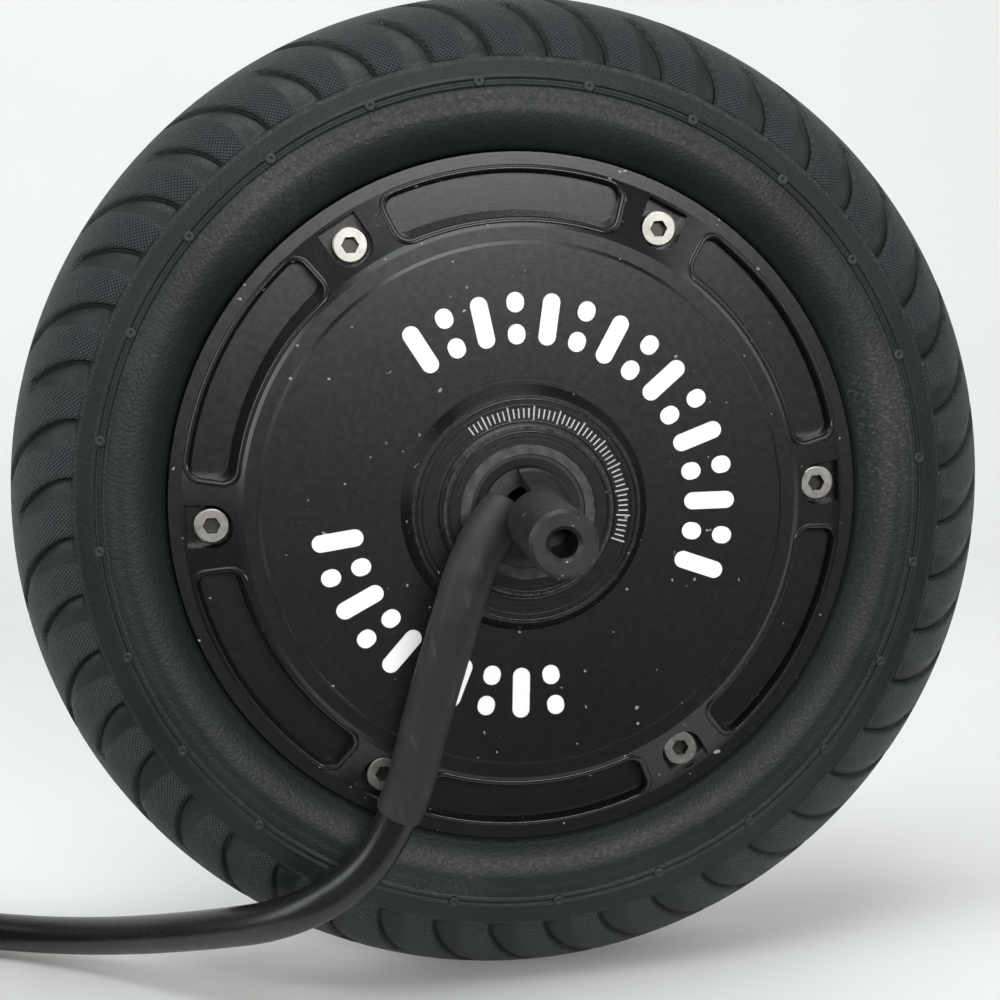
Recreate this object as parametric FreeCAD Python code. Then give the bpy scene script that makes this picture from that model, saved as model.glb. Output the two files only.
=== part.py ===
import FreeCAD, Part
import math
import os

# Hub motor wheel: a solid-tyred wheel whose hub is a brushless outrunner motor.
# Millimetres.  The wheel spins about Y, Z is up and the origin is the wheel's
# centre on the axle.  The cable leaves the front side, which faces -Y.
# "Depth" below is the distance from the mid-plane towards a side of the wheel.

# ---- tyre ----
tyre_outer_radius = 100.0
tread_arc_radius = 21.0        # round of the crown, and half the tyre's width
bead_radius = 68.6
bead_depth = 17.3
bead_bulge = 1.4               # how far the lower sidewall stands out of its chord

# ---- rotor shell (the rim) ----
rim_seat_radius = 66.0
rim_half_width = 15.0
rim_groove_depth = 3.0
rim_groove_half_width = 6.0
gasket_groove_inner = 63.0
gasket_width = 1.6
gasket_thickness = 1.2
shell_wall = 9.9

# ---- magnetic circuit ----
stator_radius = 49.4
air_gap = 0.6
magnet_thickness = 3.0
magnet_count = 30
magnet_half_length = 12.5
magnet_angle = 11.0
flux_half_length = 13.5
core_half_length = 12.0
yoke_thickness = 6.0
tooth_length = 11.2            # from the yoke to the tip
slot_count = 27
tooth_width = 4.4
tooth_tip_thickness = 2.2
slot_opening = 2.6
insulator_thickness = 0.8
coil_wire_build = 1.7          # thickness of one side of a coil
coil_end_height = 3.0
coil_foot_gap = 2.2            # from the yoke to the coil
coil_tip_gap = 0.4             # from the coil to the tooth's tip

# ---- covers ----
cover_radius = 68.2
cover_lip_rise = 4.2           # from the rim's face to the lip
cover_lip_inner = 65.7
cover_cone_inner = 55.0
cover_cone_depth = 25.4
disc_radius = 50.5
disc_depth = 27.0
band_depth = 26.3
cover_wall = 3.8
window_floor_thickness = 2.5
window_floor_inner = 57.2
window_floor_outer = 64.2
window_wall_slope = 0.2        # how far a window's wall leans out for each millimetre of height
window_half_angle = 21.3
window_corner = 2.4
window_edge_round = 0.45
boss_foot_radius = 24.0
boss_radius = 22.0
boss_depth = 30.6
collar_radius = 16.3
collar_depth = 33.0
housing_wall = 5.0

# ---- cover screws, M4 socket head ----
screw_count = 6
screw_circle_radius = 60.0
screw_radius = 2.0
screw_length = 12.0
head_radius = 3.5
head_height = 4.0
socket_flats = 3.0
socket_depth = 2.2
pocket_half_width = 4.2
head_floor = 2.0               # cover left under the heads
pocket_end_radius = 65.0

# ---- bearings, 17 x 35 x 10 ball bearings, and shaft seals ----
bearing_bore_radius = 8.5
bearing_outer_radius = 17.5
bearing_width = 10.0
bearing_start = 15.6           # depth of the bearing's inner face
ball_radius = 2.38
ball_circle_radius = 13.0
ball_count = 9
race_play = 0.35
cage_half_width = 2.6
seal_radius = 13.0
seal_start = 27.8
seal_length = 4.4

# ---- axle ----
axle_half_length = 74.0
axle_end_radius = 6.0
axle_core_radius = 11.0
axle_bore_radius = 5.0
bore_floor_depth = 8.4
bore_mouth_depth = 38.0
taper_end_depth = 47.0         # the axle's plain end starts here
slot_start = 32.0
slot_floor = 0.2               # distance of the slot's floor from the axis
slot_angle = 190.0             # the way the cable slot faces, seen from the front
lead_hole_radius = 3.2
lead_hole_depth = 11.8
lead_diameter = 2.0
tapped_hole_radius = 2.5
tapped_hole_length = 14.0
circlip_thickness = 1.0
circlip_radius = 10.2
key_width = 4.0
key_length = 14.0

# ---- fits ----
press_gap = 0.02
glue_gap = 0.05
running_gap = 0.08
screw_gap = 0.05

# ---- motor cable ----
cable_diameter = 8.0
sleeve_diameter = 9.3
floor_height = -tyre_outer_radius
tie_thickness = 0.7
coil_lift = 0.9                # the ties under the coil hold it this far up
coil_radius = 46.0
coil_centre = (-166.0, 3.0)    # x and depth
# Route from the axle's slot, down the front of the wheel and along the floor
# to the coil: x, depth and height.
cable_route = [
    (-5.2, 36.2, 1.1),
    (-11.5, 42.6, -4.6),
    (-16.2, 41.0, -18.8),
    (-21.8, 35.0, -37.0),
    (-26.4, 31.4, -54.5),
    (-35.0, 29.2, -69.4),
    (-50.2, 26.4, -78.0),
    (-68.0, 11.0, -84.2),
    (-87.0, -9.0, -91.0),
    (-105.5, -24.5, -94.7),
    (-126.0, -36.0, -95.1),
    (-150.0, -43.0, -95.1),
]
sleeve_length = 66.0
plug_radius = 7.5
plug_relief_length = 12.0
plug_body_length = 18.0
plug_nose_length = 8.0
plug_nose_radius = 6.4
plug_recess_radius = 5.0
plug_recess_length = 7.0
plug_pin_length = 6.0

front_axis = FreeCAD.Vector(0, -1, 0)
origin = FreeCAD.Vector(0, 0, 0)

# ---- sizes that follow from the ones above ----
magnet_inner = stator_radius + air_gap
magnet_outer = magnet_inner + magnet_thickness
flux_inner = magnet_outer + glue_gap
shell_inner = rim_seat_radius - shell_wall
cover_lip_depth = rim_half_width + cover_lip_rise
window_floor_depth = rim_half_width + window_floor_thickness
pocket_depth = rim_half_width + head_floor    # depth plane that the heads sit on
flux_outer = shell_inner - glue_gap
housing_radius = bearing_outer_radius + housing_wall
bearing_end = bearing_start + bearing_width
tip_inner = stator_radius - tooth_tip_thickness
yoke_outer = tip_inner - tooth_length
core_inner_radius = yoke_outer - yoke_thickness
coil_half_width = tooth_width / 2 + glue_gap + coil_wire_build
# A coil starts past the yoke, and no nearer than where its neighbours leave it room.
coil_foot = max(yoke_outer + coil_foot_gap, coil_half_width / math.tan(math.pi / slot_count) + 1)
coil_end = core_half_length + insulator_thickness + coil_end_height
cable_radius = cable_diameter / 2


def point(radius, angle, depth):
    """A point given by its radius, its angle seen from the front and its depth."""
    turn = math.radians(angle)
    return FreeCAD.Vector(radius * math.cos(turn), -depth, radius * math.sin(turn))


def turned(outline, angle=360.0):
    """Solid of revolution about the axle, from an outline of (radius, depth)."""
    corners = [FreeCAD.Vector(radius, -depth, 0) for radius, depth in outline]
    face = Part.Face(Part.makePolygon(corners + corners[:1]))
    return face.revolve(origin, front_axis, angle)


def ring(inner, outer, low, high):
    """Plain ring between two depths."""
    return turned([(inner, low), (outer, low), (outer, high), (inner, high)])


def spun(shape, angle):
    """The shape turned about the axle, counter-clockwise seen from the front."""
    copy = shape.copy()
    copy.rotate(origin, front_axis, angle)
    return copy


def around(shape, count, first=0.0):
    """Copies of the shape at even angles about the axle."""
    return [spun(shape, first + 360.0 * k / count) for k in range(count)]


def rear(shape):
    """The front's piece turned round to the rear side."""
    copy = shape.copy()
    copy.rotate(origin, FreeCAD.Vector(0, 0, 1), 180)
    return copy


def rod(radius, low, high, across=0.0, up=0.0):
    """Rod along the axle's direction between two depths."""
    base = FreeCAD.Vector(across, -low, up)
    return Part.makeCylinder(radius, high - low, base, front_axis)


def block(x_range, depth_range, z_range):
    """Box from its ranges in x, depth and z."""
    size = [high - low for low, high in (x_range, depth_range, z_range)]
    return Part.makeBox(*size, FreeCAD.Vector(x_range[0], -depth_range[1], z_range[0]))


def save(name, shape):
    """Write one piece, or a group of like pieces, to its own STEP file."""
    if isinstance(shape, list):
        shape = Part.makeCompound(shape)
    shape.exportStep("parts/" + name + ".step")


# ---- tyre and rotor ----

def tyre():
    """Solid rubber tyre: round crown, bulged sidewalls, a rib that keys into the rim."""
    crown_centre = tyre_outer_radius - tread_arc_radius

    def side(sign):
        wall_top = FreeCAD.Vector(crown_centre, -sign * tread_arc_radius, 0)
        bead = FreeCAD.Vector(bead_radius, -sign * bead_depth, 0)
        middle = (wall_top + bead) * 0.5
        out = FreeCAD.Vector(-0.35, -sign * bead_bulge, 0)
        return wall_top, middle + out, bead

    top_f, mid_f, bead_f = side(1)
    top_r, mid_r, bead_r = side(-1)
    crown = FreeCAD.Vector(tyre_outer_radius, 0, 0)
    seat = rim_seat_radius + press_gap
    rib = seat - rim_groove_depth
    half = rim_groove_half_width - press_gap
    bore = [(bead_radius, rim_half_width), (seat, rim_half_width), (seat, half), (rib, half),
            (rib, -half), (seat, -half), (seat, -rim_half_width), (bead_radius, -rim_half_width)]
    corners = [bead_f] + [FreeCAD.Vector(radius, -depth, 0) for radius, depth in bore] + [bead_r]
    edges = [Part.LineSegment(a, b).toShape() for a, b in zip(corners, corners[1:])]
    edges.append(Part.Arc(bead_r, mid_r, top_r).toShape())
    edges.append(Part.Arc(top_r, crown, top_f).toShape())
    edges.append(Part.Arc(top_f, mid_f, bead_f).toShape())
    return Part.Face(Part.Wire(edges)).revolve(origin, front_axis, 360)


def rotor_shell():
    """Aluminium ring between the covers: carries the tyre, the screws and the flux ring."""
    shell = ring(shell_inner, rim_seat_radius, -rim_half_width, rim_half_width)
    groove = ring(rim_seat_radius - rim_groove_depth, rim_seat_radius + 1,
                  -rim_groove_half_width, rim_groove_half_width)
    hole = rod(screw_radius + screw_gap, -rim_half_width - 1, rim_half_width + 1, screw_circle_radius)
    outer = gasket_groove_inner + gasket_width
    seat = rim_half_width - gasket_thickness
    grooves = [ring(gasket_groove_inner, outer, seat, rim_half_width + 1)]
    grooves.append(rear(grooves[0]))
    return shell.cut([groove] + grooves + around(hole, screw_count))


def gasket():
    """Rubber ring in the groove of the rotor shell's face."""
    inner = gasket_groove_inner + glue_gap
    outer = gasket_groove_inner + gasket_width - glue_gap
    return ring(inner, outer, rim_half_width - gasket_thickness, rim_half_width)


def magnets():
    """Thin arc magnets glued inside the flux ring."""
    length = magnet_half_length
    outline = [(magnet_inner, -length), (magnet_outer, -length), (magnet_outer, length), (magnet_inner, length)]
    return around(turned(outline, magnet_angle), magnet_count)


# ---- covers ----

def window_cutter():
    """Arc-shaped recess between two screws, with sloping walls and round corners."""
    top = disc_depth + 1.0
    rise = top - window_floor_depth
    lean = window_wall_slope * rise
    outline = [(window_floor_inner, window_floor_depth), (window_floor_outer, window_floor_depth),
               (window_floor_outer + lean, top), (window_floor_inner - lean, top)]
    cutter = spun(turned(outline, 2 * window_half_angle), -window_half_angle)
    corners = [edge for edge in cutter.Edges
               if edge.BoundBox.YLength > rise - 0.1 and edge.Curve.TypeId == "Part::GeomLine"]
    return cutter.makeFillet(window_corner, corners)


def screw_pocket():
    """Pocket round a screw's head: round towards the centre and square at the rim."""
    half = pocket_half_width
    top = disc_depth + 1.0
    round_end = rod(half, pocket_depth, top, screw_circle_radius)
    square_end = block((screw_circle_radius, pocket_end_radius), (pocket_depth, top), (-half, half))
    return round_end.fuse(square_end)


def cover_blank():
    """Turned blank of a cover, with the bearing's housing and the seal's bore."""
    inner_depth = disc_depth - cover_wall
    housing = bearing_outer_radius + press_gap
    seal_bore = seal_radius + press_gap
    cavity = cover_cone_inner - 1.6
    return turned([
        (seal_bore, collar_depth), (collar_radius, collar_depth), (collar_radius, boss_depth),
        (boss_radius, boss_depth), (boss_foot_radius, disc_depth), (disc_radius, disc_depth),
        (disc_radius + 0.7, band_depth), (cover_cone_inner - 1.2, band_depth),
        (cover_cone_inner, cover_cone_depth), (cover_lip_inner, cover_lip_depth),
        (cover_radius, cover_lip_depth), (cover_radius, rim_half_width),
        (cavity, rim_half_width), (cavity, rim_half_width + 3.6),
        (disc_radius - 0.4, inner_depth), (housing_radius, inner_depth),
        (housing_radius, bearing_start), (housing, bearing_start), (housing, bearing_end),
        (seal_radius + 2, bearing_end), (seal_radius + 2, bearing_end + 1.4),
        (seal_radius - 1, bearing_end + 1.4), (seal_radius - 1, seal_start), (seal_bore, seal_start)])


def cover():
    """Cast and turned side cover with six windows and six screw pockets."""
    step = 360.0 / screw_count
    hole = rod(screw_radius + screw_gap, rim_half_width - 1, disc_depth, screw_circle_radius)
    cuts = around(window_cutter(), screw_count, step / 2) + around(screw_pocket(), screw_count)
    # The blank's seam is turned on to a rib, away from every recess.
    rib_angle = (math.degrees(pocket_half_width / screw_circle_radius) + step / 2 - window_half_angle) / 2
    shape = spun(cover_blank(), rib_angle).cut(cuts + around(hole, screw_count))
    return rounded_rims(shape)


def rounded_rims(shape):
    """Break the sharp rims of the windows where they meet the cone."""
    solid = shape.Solids[0]
    pocket_span = 3 * pocket_half_width
    rims = []
    for face in solid.Faces:
        if face.Surface.TypeId == "Part::GeomCone" and abs(face.BoundBox.XMax - cover_lip_inner) < 0.01:
            for wire in face.Wires:
                if pocket_span < wire.BoundBox.XLength < cover_cone_inner:
                    rims += wire.Edges
    return solid.makeFillet(window_edge_round, rims)


def cover_screw():
    """M4 socket-head cap screw at angle zero."""
    shank = rod(screw_radius, pocket_depth - screw_length, pocket_depth, screw_circle_radius)
    head = rod(head_radius, pocket_depth, pocket_depth + head_height, screw_circle_radius)
    top = [edge for edge in head.Edges if abs(-edge.BoundBox.YMin - pocket_depth - head_height) < 1e-6
           and edge.BoundBox.YLength < 1e-6]
    head = head.makeFillet(0.4, top)
    start = pocket_depth + head_height - socket_depth
    corners = []
    for k in range(7):
        turn = math.radians(60 * k)
        reach = socket_flats / math.sqrt(3)
        corners.append(FreeCAD.Vector(screw_circle_radius + reach * math.cos(turn), -start, reach * math.sin(turn)))
    socket = Part.Face(Part.makePolygon(corners)).extrude(front_axis * (socket_depth + 1))
    return head.fuse(shank).removeSplitter().cut(socket)


# ---- stator ----

def axle():
    """Steel axle: tapped ends, bearing seats, a cable bore, and one side cut away at the bore's mouth."""
    groove_low = bearing_end
    groove_high = bearing_end + circlip_thickness + 0.1
    groove_radius = bearing_bore_radius - 0.5
    step = bearing_bore_radius
    half = [
        (0, axle_half_length), (axle_end_radius - 0.7, axle_half_length),
        (axle_end_radius, axle_half_length - 0.7), (axle_end_radius, taper_end_depth),
        (axle_end_radius + 1.2, bore_mouth_depth), (step - 0.5, bore_mouth_depth - 3.2),
        (step, bore_mouth_depth - 3.8), (step, groove_high), (groove_radius, groove_high),
        (groove_radius, groove_low), (step, groove_low), (step, bearing_start), (axle_core_radius, bearing_start)]
    other = [(radius, -depth) for radius, depth in reversed(half)]
    shaft = turned(half + other)
    bore = rod(axle_bore_radius, bore_floor_depth, bore_mouth_depth)
    slot = spun(block((slot_floor, axle_core_radius), (slot_start, taper_end_depth),
                      (-axle_core_radius, axle_core_radius)), slot_angle)
    lead_hole = Part.makeCylinder(lead_hole_radius, 14, FreeCAD.Vector(0, -lead_hole_depth, 0),
                                  FreeCAD.Vector(0, 0, 1))
    tapped = rod(tapped_hole_radius, axle_half_length - tapped_hole_length, axle_half_length + 1)
    mouth = Part.makeCone(tapped_hole_radius, tapped_hole_radius + 0.7, 0.7,
                          FreeCAD.Vector(0, 0.7 - axle_half_length, 0), front_axis)
    seat = block((-key_width / 2, key_width / 2), (-key_length / 2, key_length / 2),
                 (-axle_core_radius - 1, key_width / 2 - axle_core_radius))
    return shaft.cut([bore, slot, lead_hole, tapped, mouth, rear(tapped), rear(mouth), seat])


def stator_key():
    """Key that stops the carrier turning on the axle."""
    half = key_width / 2 - press_gap
    length = key_length / 2 - press_gap
    return block((-half, half), (-length, length),
                 (-axle_core_radius - half, key_width / 2 - axle_core_radius - press_gap))


def stator_carrier():
    """Aluminium spider between the axle and the laminations."""
    bore = axle_core_radius + press_gap
    rim = core_inner_radius - press_gap
    half = [(bore, key_length / 2 + 1), (bore + 4.5, key_length / 2 + 1), (bore + 4.5, 3.0),
            (rim - 4.0, 3.0), (rim - 4.0, core_half_length - 2), (rim, core_half_length - 2)]
    other = [(radius, -depth) for radius, depth in reversed(half)]
    hole = rod(3.2, -4, 4, (bore + rim) / 2 + 0.2)
    keyway = block((-key_width / 2, key_width / 2), (-key_length, key_length),
                   (-axle_core_radius - key_width / 2, 0))
    hub = turned(half + other).cut(around(hole, 6))
    return hub.cut(keyway.cut(rod(bore - 0.5, -key_length - 1, key_length + 1)))


def slotted(outer, tips, low, high):
    """Slotted ring of the stator's section between two depths."""
    blank = ring(core_inner_radius, outer, low, high)
    wide = math.radians(180.0 / slot_count)
    reach = tip_inner if tips else outer + 1
    shift = tooth_width / 2 / math.cos(wide)
    # A slot's two walls run parallel to the teeth on either side of it.
    foot = (yoke_outer - shift / math.tan(wide)) * math.tan(wide)
    head = (reach - shift / math.tan(wide)) * math.tan(wide)
    corners = [(yoke_outer, -foot), (reach, -head), (reach, head), (yoke_outer, foot)]
    points = [FreeCAD.Vector(x, -low + 1, z) for x, z in corners]
    depth = front_axis * (high - low + 2)
    slot = Part.Face(Part.makePolygon(points + points[:1])).extrude(depth)
    cuts = around(slot, slot_count, 180.0 / slot_count)
    if tips:
        mouth = block((reach - 1, outer + 1), (low - 1, high + 1), (-slot_opening / 2, slot_opening / 2))
        cuts += around(mouth, slot_count, 180.0 / slot_count)
    return blank.cut(cuts)


def stator_core():
    """Stack of steel laminations with one tooth for each coil."""
    return slotted(stator_radius, True, -core_half_length, core_half_length)


def stator_insulator(side):
    """Plastic end plate that keeps the coils off the laminations; side is 1 in front, -1 behind."""
    ends = sorted((side * core_half_length, side * (core_half_length + insulator_thickness)))
    return slotted(tip_inner, False, *ends)


def windings():
    """One copper coil round each tooth."""
    inner = tooth_width / 2 + glue_gap
    window = core_half_length + insulator_thickness + glue_gap
    reach = (coil_foot, tip_inner - coil_tip_gap)
    body = block(reach, (-coil_end, coil_end), (-coil_half_width, coil_half_width))
    edges = [edge for edge in body.Edges if edge.BoundBox.XLength > 1]
    body = body.makeFillet(1.2, edges)
    return around(body.cut(block((0, 60), (-window, window), (-inner, inner))), slot_count)


def hall_board():
    """Small arc-shaped circuit board on the front end plate, over the yoke."""
    top = core_half_length + insulator_thickness
    outline = [(core_inner_radius + 0.6, top), (yoke_outer - 0.2, top),
               (yoke_outer - 0.2, top + 1.2), (core_inner_radius + 0.6, top + 1.2)]
    return spun(turned(outline, 110), 190)


def hall_sensors():
    """Three sensors on the tooth tips' face, next to the magnets."""
    body = block((tip_inner + 0.1, stator_radius - 0.1), (core_half_length, core_half_length + 1.5), (-2, 2))
    step = 2 * 360.0 / slot_count
    return [spun(body, 240 + k * step) for k in range(3)]


def phase_leads():
    """Three phase leads from the axle's bore out to the coils."""
    leads = []
    reach = coil_foot + 3.8
    rest = coil_end + lead_diameter / 2 + glue_gap
    for shift, lift in ((-1.9, 0.0), (0.0, 1.4), (1.9, 0.0)):
        level = lead_hole_depth - lift
        route = [(shift, slot_start, lift - 1.0), (shift, level, lift - 1.0), (shift * 1.25, level, core_inner_radius - 8),
                 (shift * 1.5, rest, core_inner_radius + 1), (shift * 2.4, rest, reach)]
        leads.append(tube(route, lead_diameter))
    return leads


# ---- bearings and seals ----

def race(inner, outer):
    """Bearing ring with a round groove for the balls."""
    middle = bearing_start + bearing_width / 2
    groove = Part.makeTorus(ball_circle_radius, ball_radius + race_play, FreeCAD.Vector(0, -middle, 0), front_axis)
    return ring(inner, outer, bearing_start, bearing_end).cut(groove)


def inner_race():
    """Ring on the axle."""
    return race(bearing_bore_radius + press_gap, ball_circle_radius - 1.6)


def outer_race():
    """Ring in the cover."""
    return race(ball_circle_radius + 1.6, bearing_outer_radius)


def bearing_balls():
    """Steel balls at even angles."""
    middle = bearing_start + bearing_width / 2
    ball = Part.makeSphere(ball_radius, point(ball_circle_radius, 0, middle))
    return around(ball, ball_count)


def bearing_cage():
    """Band with one pocket for each ball."""
    middle = bearing_start + bearing_width / 2
    band = ring(ball_circle_radius - 0.8, ball_circle_radius + 0.8,
                middle - cage_half_width - 0.6, middle + cage_half_width + 0.6)
    pocket = Part.makeCylinder(ball_radius + running_gap, ball_circle_radius, FreeCAD.Vector(6, -middle, 0),
                               FreeCAD.Vector(1, 0, 0))
    return band.cut(around(pocket, ball_count))


def bearing_shields():
    """Two thin shields pressed into the outer ring."""
    inner = ball_circle_radius - 1.6 + 0.35
    outer = ball_circle_radius + 1.6 - press_gap
    low = ring(inner, outer, bearing_start + 0.3, bearing_start + 0.9)
    high = ring(inner, outer, bearing_end - 0.9, bearing_end - 0.3)
    return [low, high]


def circlip():
    """Open ring in the axle's groove, outside the bearing."""
    low = bearing_end + 0.05
    clip = ring(bearing_bore_radius - 0.5 + press_gap, circlip_radius, low, low + circlip_thickness)
    gap = block((0, circlip_radius + 1), (low - 1, low + circlip_thickness + 1), (-1.5, 1.5))
    return clip.cut(spun(gap, 90))


def seal_case():
    """Steel case of the shaft seal, pressed into the cover's collar."""
    end = seal_start + seal_length
    return turned([(seal_radius, seal_start), (seal_radius, end), (11.0, end), (11.0, end - 0.7),
                   (seal_radius - 0.8, end - 0.7), (seal_radius - 0.8, seal_start)])


def seal_lip():
    """Rubber lip of the shaft seal, running on the axle."""
    end = seal_start + seal_length
    lip = bearing_bore_radius + running_gap
    case = seal_radius - 0.8 - press_gap
    return turned([(case, seal_start + 0.2), (case, end - 0.75), (lip + 1.6, end - 0.75),
                   (lip, end - 1.4), (lip, end - 2.0), (lip + 1.0, end - 2.4), (lip + 1.0, seal_start + 0.2)])


# ---- inlaid marks on the front cover ----

def inlay_mark(inner, outer, width):
    """Pad with round ends along a radius, a little deeper than its recess is."""
    half = width / 2
    low = disc_depth - 0.4
    high = disc_depth - 0.1
    bar = block((inner + half, outer - half), (low, high), (-half, half))
    ends = [rod(half, low, high, inner + half), rod(half, low, high, outer - half)]
    return bar.fuse(ends).removeSplitter()


def inlay_marks():
    """Generic index marks: long bars with pairs of short bars between them."""
    long_bar = inlay_mark(31.5, 41.5, 3.4)
    short_bars = [inlay_mark(31.5, 35.4, 3.4), inlay_mark(37.6, 41.5, 3.4)]
    marks = []
    for first, last, count in ((-22, 120, 15), (186, 276, 10)):
        for k in range(count):
            angle = first + (last - first) * k / (count - 1)
            if k % 2:
                marks += [spun(bar, angle) for bar in short_bars]
            else:
                marks.append(spun(long_bar, angle))
    return marks


def front_cover(marks):
    """The front cover, with a shallow recess for each inlaid mark."""
    recesses = []
    for mark in marks:
        recess = mark.copy()
        recess.translate(front_axis * 0.2)
        recesses.append(mark.fuse(recess))
    return cover().cut(recesses)


# ---- cable ----

def path(route, label=None):
    """Straight runs joined by tangent arcs, each as large as its two runs allow."""
    knots = [FreeCAD.Vector(x, -depth, z) for x, depth, z in route]
    edges = []
    start = knots[0]
    radii = []
    for before, corner, after in zip(knots, knots[1:], knots[2:]):
        arrive = (corner - before).normalize()
        leave = (after - corner).normalize()
        turn = arrive.getAngle(leave)
        trim = 0.45 * min((corner - before).Length, (after - corner).Length)
        radius = trim / math.tan(turn / 2)
        radii.append(round(radius, 1))
        first = corner - arrive * trim
        last = corner + leave * trim
        inward = (leave - arrive).normalize()
        middle = corner + inward * (radius / math.cos(turn / 2) - radius)
        edges.append(Part.LineSegment(start, first).toShape())
        edges.append(Part.Arc(first, middle, last).toShape())
        start = last
    edges.append(Part.LineSegment(start, knots[-1]).toShape())
    wire = Part.Wire(edges)
    if label:
        print(label, "radii", radii, "length", round(wire.Length, 1))
    return wire


def tube(route, diameter, label=None):
    """Round bar along a route; its volume is compared with section times length."""
    spine = path(route, label)
    edge = spine.Edges[0]
    start = edge.valueAt(edge.FirstParameter)
    heading = edge.tangentAt(edge.FirstParameter)
    circle = Part.Wire(Part.makeCircle(diameter / 2, start, heading))
    solid = spine.makePipeShell([circle], True, False)
    if label:
        ideal = math.pi * diameter ** 2 / 4 * spine.Length
        print(label, "volume over ideal", round(solid.Volume / ideal, 4))
    return solid


def cable_sleeve():
    """Heat-shrink sleeve over the first stretch of the cable."""
    left = sleeve_length
    for edge in path(cable_route).OrderedEdges:
        if left <= edge.Length:
            break
        left -= edge.Length
    there = edge.getParameterByLength(left)
    reach = sleeve_length
    kept = Part.makeCylinder(reach, 2 * reach, edge.valueAt(there), edge.tangentAt(there) * -1)
    outer = tube(cable_route, sleeve_diameter, label="sleeve")
    return outer.cut(tube(cable_route, cable_diameter + 2 * glue_gap)).common(kept)


def coil_point(angle, radius, height):
    """Point of the coil, by its angle from the place where the cable joins it."""
    turn = math.radians(angle)
    across, depth = coil_centre
    return across - radius * math.sin(turn), depth - radius * math.cos(turn), height


def cable_coil():
    """Outer shape of two turns of cable, one lying on the other."""
    across, depth = coil_centre
    base = FreeCAD.Vector(across, -depth, floor_height + coil_lift)
    up = FreeCAD.Vector(0, 0, 1)
    outer = Part.makeCylinder(coil_radius + cable_radius, 2 * cable_diameter, base, up)
    inner = Part.makeCylinder(coil_radius - cable_radius, 2 * cable_diameter, base, up)
    shape = outer.cut(inner)
    return shape.makeFillet(cable_radius * 0.9, [edge for edge in shape.Edges if edge.BoundBox.ZLength < 0.1])


def coil_ties():
    """Two bands round the coil's section."""
    low = floor_height
    high = floor_height + 2 * coil_lift + 2 * cable_diameter
    side = cable_radius + 0.3 + tie_thickness
    outer = Part.makeBox(2 * side, 6, high - low, FreeCAD.Vector(coil_radius - side, -3, low))
    inner = Part.makeBox(2 * (side - tie_thickness), 8, high - low - 2 * tie_thickness,
                         FreeCAD.Vector(coil_radius - side + tie_thickness, -4, low + tie_thickness))
    band = outer.cut(inner)
    ties = []
    for angle in (345.0, 225.0):
        tie = band.copy()
        tie.rotate(origin, FreeCAD.Vector(0, 0, 1), angle)
        tie.translate(FreeCAD.Vector(coil_centre[0], -coil_centre[1], 0))
        ties.append(tie)
    return ties


def tail_route():
    """Last stretch of cable: off the top turn, outwards and down to the plug."""
    low = floor_height + coil_lift + cable_radius
    top = low + cable_diameter
    return [coil_point(14, coil_radius + 1.5, top),
            coil_point(46, coil_radius + 9, low + 3.5), coil_point(70, coil_radius + 16, low + 0.5),
            coil_point(92, coil_radius + 20, floor_height + plug_radius)]


def plug_frame():
    """Start point and level heading of the plug, in line with the cable's end."""
    before, end = [FreeCAD.Vector(x, -depth, z) for x, depth, z in tail_route()[-2:]]
    heading = end - before
    heading.z = 0
    return end, heading.normalize()


def plug_body():
    """Moulded round connector: tapered relief, body, and nose with a recess."""
    start, heading = plug_frame()
    relief = Part.makeCone(cable_radius + 0.5, plug_nose_radius, plug_relief_length, start, heading)
    body_start = start + heading * plug_relief_length
    body = Part.makeCylinder(plug_radius, plug_body_length, body_start, heading)
    body = body.makeFillet(1.2, [edge for edge in body.Edges if edge.isClosed() and edge.Length > 1])
    nose_start = body_start + heading * plug_body_length
    nose = Part.makeCylinder(plug_nose_radius, plug_nose_length, nose_start - heading, heading)
    nose_end = nose_start + heading * (plug_nose_length - 1)
    recess = Part.makeCylinder(plug_recess_radius, plug_recess_length, nose_end, heading * -1)
    return relief.fuse([body, nose]).cut(recess)


def plug_pins():
    """Contacts standing on the floor of the plug's recess."""
    start, heading = plug_frame()
    reach = plug_relief_length + plug_body_length + plug_nose_length - 1 - plug_recess_length
    floor = start + heading * reach
    side = heading.cross(FreeCAD.Vector(0, 0, 1))
    up = FreeCAD.Vector(0, 0, 1)
    pins = []
    for radius, size, count in ((1.8, 0.8, 3), (3.8, 0.4, 6)):
        for k in range(count):
            turn = 2 * math.pi * k / count + math.pi / 6
            foot = floor + side * (radius * math.cos(turn)) + up * (radius * math.sin(turn))
            pins.append(Part.makeCylinder(size, plug_pin_length, foot, heading))
    return pins


# ---- write every piece ----

os.makedirs("parts", exist_ok=True)

save("tyre", tyre())
save("rotor_shell", rotor_shell())
save("flux_ring", ring(flux_inner, flux_outer, -flux_half_length, flux_half_length))
save("magnets", magnets())
marks = inlay_marks()
save("front_cover", front_cover(marks))
save("front_cover_marks", marks)
save("rear_cover", rear(cover()))

screws = around(cover_screw(), screw_count)
front_pieces = {
    "cover_screws": screws,
    "gasket": gasket(),
    "bearing_inner_ring": inner_race(),
    "bearing_outer_ring": outer_race(),
    "bearing_balls": bearing_balls(),
    "bearing_cage": bearing_cage(),
    "bearing_shields": bearing_shields(),
    "circlip": circlip(),
    "seal_case": seal_case(),
    "seal_lip": seal_lip(),
}
for name, piece in front_pieces.items():
    save("front_" + name, piece)
    if isinstance(piece, list):
        save("rear_" + name, [rear(solid) for solid in piece])
    else:
        save("rear_" + name, rear(piece))

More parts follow.
